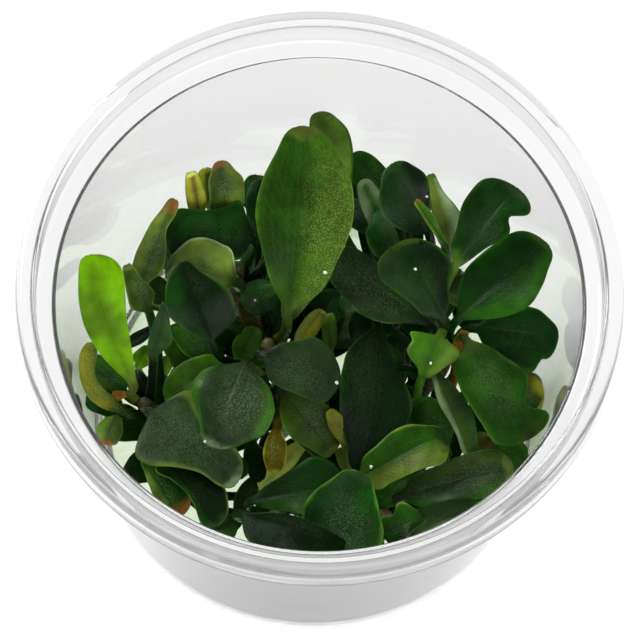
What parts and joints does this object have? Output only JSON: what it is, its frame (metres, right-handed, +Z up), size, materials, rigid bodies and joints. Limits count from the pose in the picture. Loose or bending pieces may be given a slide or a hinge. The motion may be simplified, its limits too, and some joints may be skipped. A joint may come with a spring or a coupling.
{
  "type": "bucephalandra plant in a clear culture cup",
  "caption": "Cluster of live aquarium plants with oval leaves on short rhizomes, standing in a pale gel layer inside an open clear plastic culture cup.",
  "frame": {"origin": "centre of the cup's flat underside", "axes": "+Z up out of the cup's mouth, -Y towards the viewer of the picture, +X to the viewer's right"},
  "size_m": [0.1, 0.1, 0.068],
  "materials": {
    "clear_plastic": "clear, slightly hazy",
    "gel": "clear wet jelly",
    "rhizome": "satin",
    "dark_leaf": "glossy wax",
    "deep_leaf": "glossy wax",
    "grey_leaf": "satin with pale speckles",
    "mid_leaf": "satin",
    "bright_leaf": "satin",
    "lime_leaf": "satin",
    "olive_leaf": "satin",
    "old_leaf": "dull"
  },
  "bodies": {
    "root": {"cup": "clear_plastic", "gel": "gel", "rhizome_left": "rhizome", "rhizome_centre": "rhizome", "rhizome_right": "rhizome", "rhizome_back_right": "rhizome", "rhizome_back_left": "rhizome", "rhizome_front_left": "rhizome", "rhizome_front_right": "rhizome", "leaf_back_left_dark": "dark_leaf", "leaf_back_dark": "dark_leaf", "leaf_middle_back": "dark_leaf", "leaf_back_right_glossy": "dark_leaf", "leaf_back_right_outer": "dark_leaf", "leaf_back_right_mid": "dark_leaf", "leaf_back_right_small": "dark_leaf", "leaf_right_inner": "dark_leaf", "leaf_right_upper": "dark_leaf", "leaf_right_hooked": "dark_leaf", "leaf_right_bitten": "dark_leaf", "leaf_front_teal": "dark_leaf", "leaf_right_low": "dark_leaf", "leaf_left_dark_pointed": "deep_leaf", "leaf_middle_black": "deep_leaf", "leaf_right_twisted": "deep_leaf", "leaf_left_narrow": "deep_leaf", "leaf_front_left_dark": "deep_leaf", "leaf_front_rim": "deep_leaf", "leaf_front_right_low": "deep_leaf", "leaf_middle_grey": "grey_leaf", "leaf_middle_right": "grey_leaf", "leaf_front_left_large": "grey_leaf", "leaf_front_right_speckled": "grey_leaf", "leaf_centre_tall": "mid_leaf", "leaf_middle_speckled": "mid_leaf", "leaf_left_inner_small": "mid_leaf", "leaf_back_right_low": "mid_leaf", "leaf_back_tall": "mid_leaf", "leaf_right_large": "mid_leaf", "leaf_left_outer": "mid_leaf", "leaf_front_left_red_tip": "mid_leaf", "leaf_front_left_low": "mid_leaf", "leaf_front_upright": "mid_leaf", "leaf_middle_left_bright": "bright_leaf", "leaf_left_rolled_margin": "bright_leaf", "leaf_young_spike": "bright_leaf", "leaf_right_lobed": "bright_leaf", "leaf_front_khaki": "bright_leaf", "leaf_front_small_light": "bright_leaf", "leaf_left_lime": "lime_leaf", "leaf_left_curled": "lime_leaf", "leaf_deep_yellow": "lime_leaf", "leaf_middle_round": "olive_leaf", "leaf_back_left_yellow": "olive_leaf", "leaf_back_left_olive": "olive_leaf", "leaf_left_upright": "olive_leaf", "leaf_right_golden": "olive_leaf", "leaf_left_olive": "olive_leaf", "leaf_left_old_tip": "olive_leaf", "leaf_old_brown": "old_leaf"}
  },
  "joints": []
}
